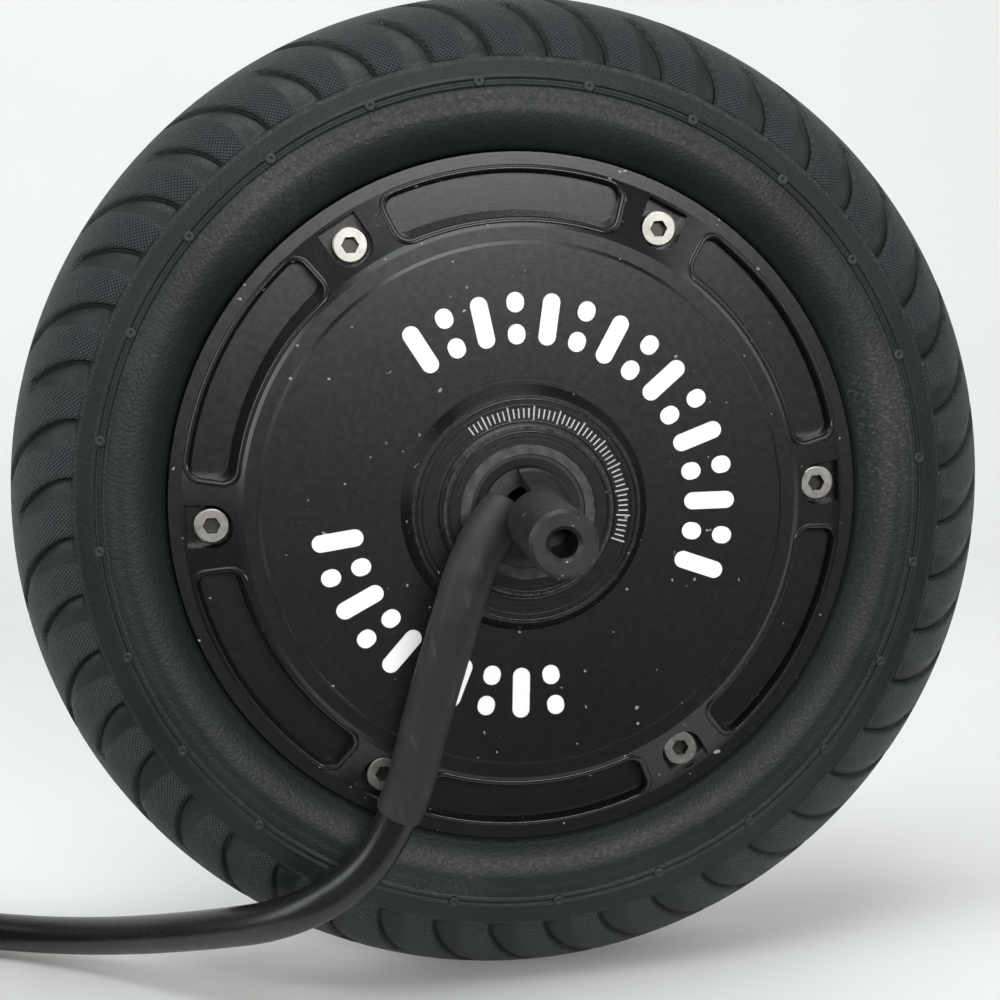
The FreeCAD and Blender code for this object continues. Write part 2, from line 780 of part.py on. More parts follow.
save("axle", axle())
save("stator_key", stator_key())
save("stator_carrier", stator_carrier())
save("stator_core", stator_core())
save("front_stator_insulator", stator_insulator(1))
save("rear_stator_insulator", stator_insulator(-1))
save("stator_windings", windings())
save("hall_board", hall_board())
save("hall_sensors", hall_sensors())
save("phase_leads", phase_leads())

save("motor_cable", tube(cable_route, cable_diameter, label="cable"))
save("cable_sleeve", cable_sleeve())
save("motor_cable_coil", cable_coil())
save("motor_cable_tail", tube(tail_route(), cable_diameter, label="tail"))
save("coil_ties", coil_ties())
save("motor_plug", plug_body())
save("plug_pins", plug_pins())
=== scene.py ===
import math
import bpy
import numpy as np
from mathutils import Matrix


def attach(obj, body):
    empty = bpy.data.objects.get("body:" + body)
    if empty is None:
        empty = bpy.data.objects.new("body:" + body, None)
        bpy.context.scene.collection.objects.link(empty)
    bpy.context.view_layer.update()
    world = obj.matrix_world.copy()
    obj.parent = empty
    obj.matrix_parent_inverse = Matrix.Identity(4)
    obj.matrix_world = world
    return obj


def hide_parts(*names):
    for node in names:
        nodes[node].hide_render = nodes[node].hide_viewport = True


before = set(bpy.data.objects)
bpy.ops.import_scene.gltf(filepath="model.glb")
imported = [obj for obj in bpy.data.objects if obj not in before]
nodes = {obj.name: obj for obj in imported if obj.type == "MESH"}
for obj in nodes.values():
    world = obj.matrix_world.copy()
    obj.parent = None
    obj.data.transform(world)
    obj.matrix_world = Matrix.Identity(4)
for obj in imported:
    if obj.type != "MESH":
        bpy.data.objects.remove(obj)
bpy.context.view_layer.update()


# ---- camera ----
# A camera on the cable side, a little left of the axle and above it, looking slightly down and
# to the right so that the axle's end shows its length. It is rolled by three degrees.
camera_data = bpy.data.cameras.new("camera")
camera_data.sensor_width = 36.0
camera_data.lens = 65.6
camera_data.clip_start = 0.01
camera_data.clip_end = 20.0
camera = bpy.data.objects.new("camera", camera_data)
bpy.context.scene.collection.objects.link(camera)
camera_right = (0.99007, -0.12988, -0.0538)
camera_up = (0.0704, 0.12669, 0.98944)
camera_back = (-0.1217, -0.9834, 0.1346)
camera_place = (-0.0474, -0.3722, 0.0491)
camera_turn = Matrix((camera_right, camera_up, camera_back)).transposed().to_4x4()
camera.matrix_world = Matrix.Translation(camera_place) @ camera_turn
bpy.context.scene.camera = camera


# ---- motor cable ----
# One round jacketed lead for the motor's phases and sensors. It comes out of the axle's cut
# side, hangs down the wheel's face, runs along the floor and is put away as a tied coil of
# two turns, with the plug on its free end.
cable_diameter = 0.008
floor_height = -0.100
# The coil lies on its tie straps, which keep it this far off the floor.
coil_lift = 0.0009
coil_centre = (-0.166, -0.003)
coil_radius = 0.046
coil_low = floor_height + coil_lift + cable_diameter / 2
coil_top = coil_low + cable_diameter
cable_route = [
    (-0.0052, -0.0362, 0.0011), (-0.0115, -0.0426, -0.0046), (-0.0162, -0.0410, -0.0188),
    (-0.0218, -0.0350, -0.0370), (-0.0264, -0.0314, -0.0545), (-0.0350, -0.0292, -0.0694),
    (-0.0502, -0.0264, -0.0780), (-0.0680, -0.0110, -0.0842), (-0.0870, 0.0090, -0.0910),
    (-0.1055, 0.0245, -0.0947), (-0.1260, 0.0360, -0.0951), (-0.1500, 0.0430, -0.0951)]


def coil_point(angle, radius, height):
    """Point of the coil: its angle in degrees from where the cable joins it, about the centre."""
    turn = math.radians(angle)
    return (coil_centre[0] - radius * math.sin(turn), coil_centre[1] + radius * math.cos(turn), height)


def smooth_cord(name, points, diameter):
    """Round cord along one smooth spline that has the route's points as its control points."""
    curve = bpy.data.curves.new(name, "CURVE")
    curve.dimensions = "3D"
    spline = curve.splines.new("NURBS")
    spline.points.add(len(points) - 1)
    spline.points.foreach_set("co", [value for p in points for value in (*p, 1.0)])
    spline.order_u = 3
    spline.use_endpoint_u = True
    spline.resolution_u = 12
    curve.bevel_depth = diameter / 2
    curve.bevel_resolution = 10
    curve.use_fill_caps = True
    cord = bpy.data.objects.new(name, curve)
    bpy.context.scene.collection.objects.link(cord)
    return cord


# The first turn lies on the floor and the second on top of it, with a smooth climb between.
turn_step, turn_steps = 25.0, 28
climb_start, climb_length = 300.0, 90.0
spline_allowance = 0.0006
turn_points = []
for step in range(1, turn_steps + 1):
    angle = step * turn_step
    rise = min(1.0, max(0.0, (angle - climb_start) / climb_length))
    height = coil_low + (coil_top - coil_low) * (3 * rise ** 2 - 2 * rise ** 3)
    turn_points.append(coil_point(angle, coil_radius + spline_allowance, height))
two_turns = 720
tail_points = [
    coil_point(two_turns + 14, 0.0475, coil_top),
    coil_point(two_turns + 46, 0.055, coil_low + 0.0035),
    coil_point(two_turns + 70, 0.062, coil_low + 0.0005),
    coil_point(two_turns + 92, 0.066, floor_height + 0.0075)]
cable = smooth_cord("motor_lead", cable_route + turn_points + tail_points, cable_diameter)

# The jacket is satin black PVC: nearly smooth, with a faint pull grain and rubbed places.
cable_jacket = bpy.data.materials.new("satin_cable_jacket")


def node_kit(material):
    """Short ways to add and wire shader nodes in one material."""
    tree = material.node_tree
    shader = tree.nodes["Principled BSDF"]

    def add(kind, **settings):
        node = tree.nodes.new(kind)
        for key, value in settings.items():
            setattr(node, key, value)
        return node

    def wire(source, target):
        tree.links.new(source, target)

    return shader, add, wire


def noise(add, wire, coords, scale, detail=3.0, stretch=(1, 1, 1)):
    """Noise of a given scale on the coordinates, drawn out along one axis if asked."""
    mapping = add("ShaderNodeMapping")
    mapping.inputs["Scale"].default_value = stretch
    wire(coords, mapping.inputs["Vector"])
    texture = add("ShaderNodeTexNoise")
    texture.inputs["Scale"].default_value = scale
    texture.inputs["Detail"].default_value = detail
    wire(mapping.outputs["Vector"], texture.inputs["Vector"])
    return texture.outputs["Fac"]


def ramp(add, wire, value, stops):
    """Colour ramp with (position, colour or grey level) stops."""
    node = add("ShaderNodeValToRGB")
    while len(node.color_ramp.elements) < len(stops):
        node.color_ramp.elements.new(0.5)
    for element, (place, colour) in zip(node.color_ramp.elements, stops):
        element.position = place
        element.color = (colour, colour, colour, 1) if isinstance(colour, (int, float)) else (*colour, 1)
    wire(value, node.inputs["Fac"])
    return node.outputs["Color"]


def bump(add, wire, shader, height, strength, distance=0.0002):
    """Bump from a height, on the shader's own normal."""
    node = add("ShaderNodeBump")
    node.inputs["Strength"].default_value = strength
    node.inputs["Distance"].default_value = distance
    wire(height, node.inputs["Height"])
    wire(node.outputs["Normal"], shader.inputs["Normal"])
    return node


def finish_with(material, colours, rough, coarse=30.0, fine=900.0, grain=0.15, metal=0.0, stretch=(1, 1, 1)):
    """Surface finish: coarse noise moves between colours, fine noise gives roughness and grain.
    A grain of 0 leaves the bump to the caller, who also gets the ramp's colour to build on."""
    material.use_nodes = True
    shader, add, wire = node_kit(material)
    coords = add("ShaderNodeTexCoord").outputs["Object"]
    broad = noise(add, wire, coords, coarse, 4.0)
    small = noise(add, wire, coords, fine, 2.0, stretch)
    colour = ramp(add, wire, broad, [(0.3, colours[0]), (0.7, colours[1])])
    wire(colour, shader.inputs["Base Color"])
    wire(ramp(add, wire, small, [(0.3, rough[0]), (0.7, rough[1])]), shader.inputs["Roughness"])
    shader.inputs["Metallic"].default_value = metal
    if grain:
        bump(add, wire, shader, small, grain, 0.00005)
    return shader, add, wire, coords, colour


finish_with(cable_jacket, [(0.006, 0.0065, 0.007), (0.010, 0.011, 0.012)], (0.26, 0.36), 60, 1500, 0.10)
cable.data.materials.append(cable_jacket)
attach(cable, "stator")
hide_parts("motor_cable", "motor_cable_coil", "motor_cable_tail")


# ---- heat-shrink sleeve ----
# A matt polyolefin tube shrunk over the first 66 mm of the cable. It follows the cable's bends,
# with faint wrinkles on the inside of them, scuffs, and a plain cut end with a thin wall.
def centreline(curve_object):
    """Points of the spline itself, read from a copy of the curve with no thickness."""
    bare = curve_object.data.copy()
    bare.bevel_depth = 0
    holder = bpy.data.objects.new("centreline", bare)
    bpy.context.scene.collection.objects.link(holder)
    bpy.context.view_layer.update()
    mesh = bpy.data.meshes.new_from_object(holder)
    line = np.empty(len(mesh.vertices) * 3)
    mesh.vertices.foreach_get("co", line)
    bpy.data.objects.remove(holder)
    bpy.data.curves.remove(bare)
    bpy.data.meshes.remove(mesh)
    return line.reshape(-1, 3)


def grid_mesh(name, points, close_u=False, close_v=False, uv=None, flip=False):
    """Surface from a grid of points (rows u, columns v), closed round u or v if asked."""
    rows, cols = points.shape[:2]
    u = np.arange(rows if close_u else rows - 1)
    v = np.arange(cols if close_v else cols - 1)
    uu, vv = np.meshgrid(u, v, indexing="ij")
    un, vn = (uu + 1) % rows, (vv + 1) % cols
    quads = np.stack([uu * cols + vv, un * cols + vv, un * cols + vn, uu * cols + vn], -1).reshape(-1, 4)
    if flip:
        quads = quads[:, ::-1]
    mesh = bpy.data.meshes.new(name)
    mesh.vertices.add(rows * cols)
    mesh.vertices.foreach_set("co", np.ascontiguousarray(points, dtype=np.float64).ravel())
    mesh.loops.add(quads.size)
    mesh.loops.foreach_set("vertex_index", quads.astype(np.int32).ravel())
    mesh.polygons.add(len(quads))
    mesh.polygons.foreach_set("loop_start", np.arange(0, quads.size, 4, dtype=np.int32))
    mesh.polygons.foreach_set("use_smooth", np.ones(len(quads), dtype=bool))
    mesh.update(calc_edges=True)
    if uv is not None:
        corner = np.stack([uv[uu, vv], uv[uu + 1, vv], uv[uu + 1, vv + 1], uv[uu, vv + 1]], 2)
        corner = corner.reshape(-1, 4, 2)
        if flip:
            corner = corner[:, ::-1]
        mesh.uv_layers.new(name="surface").data.foreach_set("uv", corner.ravel())
    piece = bpy.data.objects.new(name, mesh)
    bpy.context.scene.collection.objects.link(piece)
    return piece


def tube_grid(line, radii, around):
    """Rings of the given radii carried along a line: each point is the line's point plus its radius
    times the cosine and sine of its angle, on two directions square to the line."""
    heading = np.gradient(line, axis=0)
    heading /= np.linalg.norm(heading, axis=1)[:, None]
    steady = (0.2, 0.93, 0.3)
    across = np.cross(heading, steady)
    across /= np.linalg.norm(across, axis=1)[:, None]
    up = np.cross(across, heading)
    angle = np.linspace(0, 2 * np.pi, around, endpoint=False)
    ring = np.cos(angle)[None, :, None] * across[:, None] + np.sin(angle)[None, :, None] * up[:, None]
    return line[:, None] + radii[..., None] * ring


cable_line = centreline(cable)
run = np.r_[0, np.cumsum(np.linalg.norm(np.diff(cable_line, axis=0), axis=1))]
sleeve_length, sleeve_radius, sleeve_bore = 0.066, 0.00465, 0.00402
sleeve_rings, sleeve_around = 220, 64
steps = np.linspace(0.0002, sleeve_length, sleeve_rings)
sleeve_line = np.stack([np.interp(steps, run, cable_line[:, k]) for k in range(3)], 1)
# Wrinkles: two waves along the sleeve that also swing round it, highest at its two bends.
wrinkle_height = 0.00005
turn = np.linspace(0, 2 * np.pi, sleeve_around, endpoint=False)
wave = (np.sin(steps[:, None] * 1500 + 2.0 * np.sin(turn)[None] + 0.7) * 0.5
        + np.sin(steps[:, None] * 640 + 3.0 * np.cos(turn)[None]) * 0.5)
bend = np.exp(-((steps - 0.012) / 0.012) ** 2) + 0.8 * np.exp(-((steps - 0.060) / 0.010) ** 2)
outer_wall = sleeve_radius + wrinkle_height * wave * (0.35 + bend[:, None])
inner_wall = np.full_like(outer_wall, sleeve_bore)
# The cut end is drawn in a little.
cut_edge = 0.00012 * np.exp(-((steps - sleeve_length) / 0.0006) ** 2)[:, None]
outer = tube_grid(sleeve_line, outer_wall - cut_edge, sleeve_around)
inner = tube_grid(sleeve_line, inner_wall, sleeve_around)
sleeve = grid_mesh("shrink_sleeve", np.concatenate([outer, inner[::-1]]), close_u=True, close_v=True)
sleeve_finish = bpy.data.materials.new("matt_shrink_tube")
shader, add, wire, coords, base = finish_with(
    sleeve_finish, [(0.012, 0.0125, 0.013), (0.020, 0.0205, 0.021)], (0.52, 0.68), 90, 1600, 0.25)
scuffs = noise(add, wire, coords, 420, 6.0, (1.0, 1.0, 0.25))
scuffed = add("ShaderNodeMixRGB", blend_type="SCREEN")
scuffed.inputs[0].default_value = 0.6
wire(base, scuffed.inputs[1])
wire(ramp(add, wire, scuffs, [(0.62, 0.0), (0.78, 0.05)]), scuffed.inputs[2])
wire(scuffed.outputs[0], shader.inputs["Base Color"])
sleeve.data.materials.append(sleeve_finish)
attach(sleeve, "stator")
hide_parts("cable_sleeve")


# ---- coil ties and plug ----
# Two nylon straps hold the coil's turns together. The plug is a black moulding over the
# cable's end with ribbed relief and grip, and plated pins inside the nose's recess.
tie_finish = bpy.data.materials.new("nylon_strap")
finish_with(tie_finish, [(0.020, 0.020, 0.021), (0.035, 0.035, 0.036)], (0.42, 0.55), 120, 1400, 0.2)
nodes["coil_ties"].data.materials.clear()
nodes["coil_ties"].data.materials.append(tie_finish)

plug_start = np.array(tail_points[-1])
plug_heading = plug_start - np.array(tail_points[-2])
plug_heading[2] = 0
plug_heading /= np.linalg.norm(plug_heading)
plug_side = np.cross(plug_heading, (0.0, 0.0, 1.0))
# The profile is (distance along, radius): ribbed relief, shoulder, grooved grip, nose and recess.
rib_count, groove_count, rib_pitch = 5, 7, 0.0019
grip_radius, groove_radius = 0.0075, 0.0071
plug_profile = [(0.0, 0.0001), (0.0, 0.0042), (0.0015, 0.0046)]
for k in range(rib_count):
    rib = 0.0022 + rib_pitch * k
    plug_profile += [(rib, 0.0054), (rib + 0.0011, 0.0055), (rib + 0.0013, 0.0048), (rib + 0.0018, 0.0049)]
plug_profile += [(0.0122, 0.0066), (0.0128, 0.0073), (0.0138, grip_radius)]
for k in range(groove_count):
    groove = 0.0150 + rib_pitch * k
    plug_profile += [(groove, grip_radius), (groove + 0.0003, groove_radius),
                     (groove + 0.0009, groove_radius), (groove + 0.0012, grip_radius)]
plug_profile += [(0.0290, grip_radius), (0.0297, 0.0072), (0.0300, 0.0065), (0.0300, 0.0064),
                 (0.0368, 0.0064), (0.0370, 0.0062), (0.0370, 0.0050), (0.0366, 0.0050),
                 (0.0302, 0.0050), (0.0301, 0.0001)]
place, radius = np.array(plug_profile).T
plug_around = 48
turn = np.linspace(0, 2 * np.pi, plug_around, endpoint=False)
ring = np.cos(turn)[:, None] * plug_side + np.sin(turn)[:, None] * np.array((0.0, 0.0, 1.0))
plug_points = plug_start + place[:, None, None] * plug_heading + radius[:, None, None] * ring[None]
plug = grid_mesh("plug_moulding", plug_points, close_u=True, close_v=True)
plug_finish = bpy.data.materials.new("plug_moulding")
finish_with(plug_finish, [(0.016, 0.016, 0.017), (0.028, 0.028, 0.029)], (0.40, 0.55), 150, 1500, 0.25)
plug.data.materials.append(plug_finish)
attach(plug, "stator")
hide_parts("motor_plug")

pin_finish = bpy.data.materials.new("plated_pin")
finish_with(pin_finish, [(0.80, 0.60, 0.28), (0.88, 0.70, 0.36)], (0.18, 0.30), 300, 2500, 0.05, 1.0)
nodes["plug_pins"].data.materials.clear()
nodes["plug_pins"].data.materials.append(pin_finish)


# ---- tyre ----
# A solid rubber tyre, moulded in one piece and stretched over the rim. Curved sipes sweep back
# from the shoulder to the crown, long and short by turns, each with a smooth ramp on one side
# and a knurled block on the other. Two fine ridges run round each shoulder.
pitch_count = 48
# Sizes here are in mm and degrees. The tread is an arc about crown_centre, and a place on it is an
# angle from the crown, up to the shoulder on each side. A sipe leans back over sipe_reach.
crown_centre, crown_round = 79.0, 21.0
shoulder = 69.0
sipe_reach = 52.0


def groove_columns(theta, long_sipe):
    """Across one pitch: where the columns stand (share of the pitch), how deep each lies in mm and
    how knurled it is. A steep wall, a narrow floor, a straight ramp back up, then the block."""
    away = np.abs(theta)
    t = np.clip((shoulder - away) / sipe_reach, 0, 1)
    notch = np.exp(-((away - 17.0) / 6.0) ** 2)
    if long_sipe:
        envelope = np.clip((away - 8.0) / 6.0, 0, 1)
        deep = (1.15 + 0.55 * notch) * envelope
    else:
        envelope = np.clip((away - 29.0) / 2.5, 0, 1)
        deep = 1.05 * envelope
        notch = np.zeros_like(notch)
    envelope = envelope * np.clip((shoulder + 0.5 - away) / 0.5, 0, 1)
    deep = deep * (away <= shoulder)
    width = 0.40 * (1 - t) + 0.12
    floor = 0.055 + 0.09 * notch * (deep > 0)
    wall = 0.012
    place = [np.zeros_like(t), np.full_like(t, wall), floor]
    place += [floor + width * k for k in (0.12, 0.45, 0.8)] + [floor + width]
    last = place[-1]
    place += [last + (1 - last) * k / 6 for k in range(1, 6)]
    sink = [0, 1.0, 1.0, 0.52, 0.34, 0.17, 0.0] + [0.0] * 5
    knurl = [1 - 0.5 * (deep > 0), 0, 0, 0, 0, 0, 0.6] + [1.0] * 5
    deep_columns = np.stack([deep * s for s in sink], -1)
    knurl_columns = np.stack([np.where(envelope > 0.5, k, 1.0) for k in knurl], -1)
    return np.stack(place, -1), deep_columns, knurl_columns


def arc_through(a, b, c, count):
    """Points of the circle through three (radius, depth) points, from the first to the last."""
    a, b, c = (np.array(p) for p in (a, b, c))
    system = 2 * np.array([b - a, c - a])
    centre = np.linalg.solve(system, [b @ b - a @ a, c @ c - a @ a])
    first = np.arctan2(*(a - centre)[::-1])
    last = np.arctan2(*(c - centre)[::-1])
    turn = np.linspace(first, last, count)
    return centre + np.linalg.norm(a - centre) * np.stack([np.cos(turn), np.sin(turn)], -1)


# The section from the crown to the bore: the tread, a smooth band with two ridges, the sidewall
# with a fine groove and a bead line, and the seat on the rim.
tread_theta = np.linspace(-shoulder, shoulder, 67)
band = np.array([69.6, 70.4, 73.0, 76.0, 79.0, 80.3, 80.6, 80.9, 81.5,
                 81.8, 82.1, 84.0, 84.3, 84.6, 85.2, 85.5, 85.8, 87.5])
band_lift = np.array([-0.10, -0.34, -0.36, -0.34, -0.28, -0.24, -0.02, 0.10, 0.10,
                      -0.02, -0.22, -0.22, -0.02, 0.08, 0.08, -0.02, -0.20, -0.10])
wall_rows = 15
wall_points = arc_through((79.0, 21.0), (73.45, 20.55), (68.6, 17.3), wall_rows)
wall_share = np.linspace(0, 1, wall_rows)
wall_lift = (-0.25 * np.exp(-((wall_share - 0.12) / 0.05) ** 2)
             + 0.18 * np.exp(-((wall_share - 0.93) / 0.04) ** 2))
bore_points = np.array([(68.62, 16.0), (67.6, 15.02), (66.05, 15.0), (66.03, 6.0)])


def on_arc(theta, lift):
    """Point of the tyre's round, in (radius, depth), at an angle from the crown and lifted in mm."""
    turn = np.radians(theta)
    out = crown_round + lift
    return np.stack([crown_centre + out * np.cos(turn), out * np.sin(turn)], -1)


wall_out = np.gradient(wall_points, axis=0)
wall_out = np.stack([-wall_out[:, 1], wall_out[:, 0]], -1) / np.linalg.norm(wall_out, axis=1)[:, None]
wall_out *= np.sign(wall_out[:, 1])[:, None]
lifted_wall = wall_points + wall_lift[:, None] * wall_out
front_side = np.concatenate([on_arc(band, band_lift), lifted_wall, bore_points])
rear_side = front_side[::-1] * (1, -1)
tread_line = on_arc(tread_theta, np.zeros_like(tread_theta))
section = np.concatenate([rear_side, tread_line, front_side])
theta_rows = np.concatenate([np.full(len(rear_side), -shoulder - 1), tread_theta,
                             np.full(len(front_side), shoulder + 1)])
in_tread = np.abs(theta_rows) <= shoulder

places, depths, knurls = [], [], []
for long_sipe in (True, False):
    place, deep, knurl = groove_columns(np.clip(theta_rows, -shoulder, shoulder), long_sipe)
    places.append(place)
    depths.append(deep * in_tread[:, None])
    knurls.append(knurl * in_tread[:, None])
# Pairs of pitches go round the wheel, and the sipes lean further round the nearer the crown.
pitch = 360.0 / pitch_count
pair_count = pitch_count // 2
lean_at_crown, lean_power, tread_start = 7.3, 1.6, 0.2
one_pair = np.concatenate([places[0], places[1] + 1], 1)
all_pairs = one_pair[:, None, :] + 2 * np.arange(pair_count)[None, :, None]
column_angle = all_pairs.reshape(len(section), -1) * pitch
column_deep = np.tile(np.concatenate(depths, 1), (1, pair_count))
column_knurl = np.tile(np.concatenate(knurls, 1), (1, pair_count))
sweep = lean_at_crown * (np.clip(shoulder - np.abs(theta_rows), 0, None) / sipe_reach) ** lean_power
angle = column_angle + sweep[:, None] + tread_start
turn = np.radians(np.clip(theta_rows, -shoulder, shoulder))
radius = section[:, 0:1] - column_deep * np.cos(turn)[:, None]
depth = section[:, 1:2] - column_deep * np.sin(turn)[:, None]
spin = np.radians(angle)
tyre_points = np.stack([radius * np.cos(spin), -depth, radius * np.sin(spin)], -1) * 0.001
# The surface coordinates count knurl diamonds, round the wheel and along the section.
diamonds_round, diamond_size, bore_width = 640, 0.9, 30
along = np.r_[0, np.cumsum(np.linalg.norm(np.diff(section, axis=0), axis=1))]
uv_angle = np.concatenate([angle, angle[:, :1] + 360.0], 1) / 360.0 * diamonds_round
uv_along = np.repeat(np.r_[along, along[-1] + bore_width][:, None], uv_angle.shape[1], 1) / diamond_size
uv_angle = np.concatenate([uv_angle, uv_angle[:1]])
tyre = grid_mesh("tyre_rubber", tyre_points, True, True, np.stack([uv_angle, uv_along], -1), flip=True)
knurl_mask = tyre.data.attributes.new("knurl", "FLOAT", "POINT")
knurl_mask.data.foreach_set("value", column_knurl.ravel().astype(np.float32))
# The deep sipe floors are marked here for painted shade.
recess_shade_mask = tyre.data.attributes.new("recess", "FLOAT", "POINT")
recess = np.clip((column_deep - 0.55) / 0.5, 0, 1)
recess_shade_mask.data.foreach_set("value", recess.ravel().astype(np.float32))

rubber = bpy.data.materials.new("tyre_rubber")
shader, add, wire, coords, base = finish_with(
    rubber, [(0.0065, 0.0088, 0.0096), (0.0105, 0.0138, 0.0150)], (0.42, 0.56), 45, 1300, grain=0)
surface_uv = add("ShaderNodeUVMap", uv_map="surface").outputs["UV"]
split = add("ShaderNodeSeparateXYZ")
wire(surface_uv, split.inputs[0])


def maths(operation, a, b=None):
    """One maths node in the material being wired, on sockets or plain numbers."""
    node = add("ShaderNodeMath", operation=operation)
    for socket, value in zip(node.inputs, (a, b)):
        if value is None:
            continue
        if isinstance(value, (int, float)):
            socket.default_value = value
        else:
            wire(value, socket)
    return node.outputs[0]


# Small raised diamonds: a product of two waves along the diagonals of the surface.
diagonal_a = maths("ADD", split.outputs[0], split.outputs[1])
diagonal_b = maths("SUBTRACT", split.outputs[0], split.outputs[1])
wave_a = maths("SINE", maths("MULTIPLY", diagonal_a, math.pi))
wave_b = maths("SINE", maths("MULTIPLY", diagonal_b, math.pi))
diamonds = maths("ABSOLUTE", maths("MULTIPLY", wave_a, wave_b))
mask = add("ShaderNodeAttribute", attribute_name="knurl").outputs["Fac"]
knurl_height = maths("MULTIPLY", diamonds, mask)
grain = noise(add, wire, coords, 1600, 3.0)
height = maths("ADD", knurl_height, maths("MULTIPLY", grain, 0.25))
bump(add, wire, shader, height, 1.0, 0.00045)
# The lower sidewall is grey in patches, with streaks drawn out round the wheel: partly rubbed rubber, partly
# painted sheen, with fine grains of painted sheen in the grey.
position = add("ShaderNodeSeparateXYZ")
wire(coords, position.inputs[0])


def axle_distance():
    """Distance from the wheel's axis in metres: the root of the sum of x and z squared."""
    x_squared = maths("POWER", position.outputs[0], 2.0)
    return maths("SQRT", maths("ADD", x_squared, maths("POWER", position.outputs[2], 2.0)))


zone = ramp(add, wire, maths("MULTIPLY", axle_distance(), 10.0),
            [(0.690, 0.0), (0.705, 0.6), (0.760, 1.0), (0.803, 0.9), (0.812, 0.0)])
patches = ramp(add, wire, noise(add, wire, coords, 20, 8.0), [(0.50, 0.0), (0.66, 1.0)])
drawn_out = noise(add, wire, surface_uv, 2.2, 6.0, (1.0, 0.35, 1.0))
streaks = ramp(add, wire, drawn_out, [(0.38, 0.15), (0.66, 1.0)])
sheen_grains = ramp(add, wire, noise(add, wire, coords, 1150, 2.0), [(0.52, 0.30), (0.66, 1.0)])
wear_and_sheen = maths("MULTIPLY", maths("MULTIPLY", maths("MULTIPLY", zone, patches), streaks), sheen_grains)
tint = add("ShaderNodeMixRGB")
wire(maths("MULTIPLY", wear_and_sheen, 0.9), tint.inputs[0])
wire(base, tint.inputs[1])
tint.inputs[2].default_value = (0.085, 0.088, 0.083, 1)
# The raised diamonds' tops are lightened by their height: painted highlight on the knurl.
knurl_painted_highlight = add("ShaderNodeMixRGB", blend_type="SCREEN")
wire(maths("MULTIPLY", knurl_height, 0.9), knurl_painted_highlight.inputs[0])
wire(tint.outputs[0], knurl_painted_highlight.inputs[1])
knurl_painted_highlight.inputs[2].default_value = (0.062, 0.072, 0.076, 1)
# The sipes' deep floors are darkened: painted shade in the grooves.
sipe_painted_shade = add("ShaderNodeMixRGB", blend_type="MULTIPLY")
wire(add("ShaderNodeAttribute", attribute_name="recess").outputs["Fac"], sipe_painted_shade.inputs[0])
wire(knurl_painted_highlight.outputs[0], sipe_painted_shade.inputs[1])
sipe_painted_shade.inputs[2].default_value = (0.15, 0.15, 0.15, 1)
wire(sipe_painted_shade.outputs[0], shader.inputs["Base Color"])
shader.inputs["Specular IOR Level"].default_value = 0.36
tyre.data.materials.append(rubber)
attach(tyre, "wheel")
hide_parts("tyre")


# ---- vent nubs ----
# Low round rubber buttons with a dimple, left by the mould's vents. They stand every 15 degrees
# between the two ridges of each shoulder. The profile is (radius, height) in mm.
nub_profile = np.array([(0.02, -0.2), (1.15, -0.2), (1.1, 0.20), (0.95, 0.36),
                        (0.6, 0.42), (0.4, 0.30), (0.02, 0.26)])
nub_count, nub_pitch, nub_start = 24, 15.0, 2.5
nub_lean = math.radians(83.0)
nub_turn = np.linspace(0, 2 * np.pi, 20, endpoint=False)
nubs = []
for side in (1, -1):
    for k in range(nub_count):
        around_wheel = math.radians(nub_pitch * k + nub_start)
        out = np.array((math.cos(around_wheel), 0, math.sin(around_wheel)))
        along_wheel = np.array((-math.sin(around_wheel), 0, math.cos(around_wheel)))
        sideways = math.sin(nub_lean) * np.array((0, -side, 0))
        face = math.cos(nub_lean) * out + sideways
        across = np.cross(face, along_wheel)
        foot = (crown_centre + crown_round * math.cos(nub_lean)) * out + crown_round * sideways
        ring = np.cos(nub_turn)[:, None] * along_wheel + np.sin(nub_turn)[:, None] * across
        nubs.append(foot + nub_profile[:, 0, None, None] * ring + nub_profile[:, 1, None, None] * face)


def joined(name, blocks, close_u=False):
    """Many like grids of points in one mesh, each closed round its columns, and its rows if asked."""
    count, rows, cols = blocks.shape[:3]
    u_steps = np.arange(rows if close_u else rows - 1)
    k, u, v = np.meshgrid(np.arange(count), u_steps, np.arange(cols), indexing="ij")
    start, un, vn = k * rows * cols, (u + 1) % rows, (v + 1) % cols
    quads = np.stack([start + u * cols + v, start + u * cols + vn,
                      start + un * cols + vn, start + un * cols + v], -1)
    mesh = bpy.data.meshes.new(name)
    mesh.from_pydata(blocks.reshape(-1, 3).tolist(), [], quads.reshape(-1, 4).tolist())
    mesh.polygons.foreach_set("use_smooth", np.ones(len(mesh.polygons), dtype=bool))
    piece = bpy.data.objects.new(name, mesh)
    bpy.context.scene.collection.objects.link(piece)
    return piece


nub_piece = joined("tyre_vent_nubs", np.array(nubs) * 0.001, close_u=True)
nub_finish = bpy.data.materials.new("nub_rubber")
finish_with(nub_finish, [(0.010, 0.012, 0.013), (0.016, 0.019, 0.021)], (0.5, 0.62), 60, 1400, 0.2)
nub_piece.data.materials.append(nub_finish)
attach(nub_piece, "wheel")


# ---- covers ----
# Cast aluminium side covers, turned on the face and sprayed satin black. The paint has dust nibs in it. The
# pale rings on the turned edges round the hub are partly worn-thin paint and partly painted highlight.
cover_paint = bpy.data.materials.new("satin_black_paint")
shader, add, wire, coords, base = finish_with(
    cover_paint, [(0.0045, 0.0048, 0.0050), (0.0075, 0.0080, 0.0083)], (0.25, 0.29), 22, 700, grain=0)
position = add("ShaderNodeSeparateXYZ")
wire(coords, position.inputs[0])
reach = axle_distance()
specks = ramp(add, wire, noise(add, wire, coords, 640, 1.0), [(0.765, 0.0), (0.79, 0.45)])
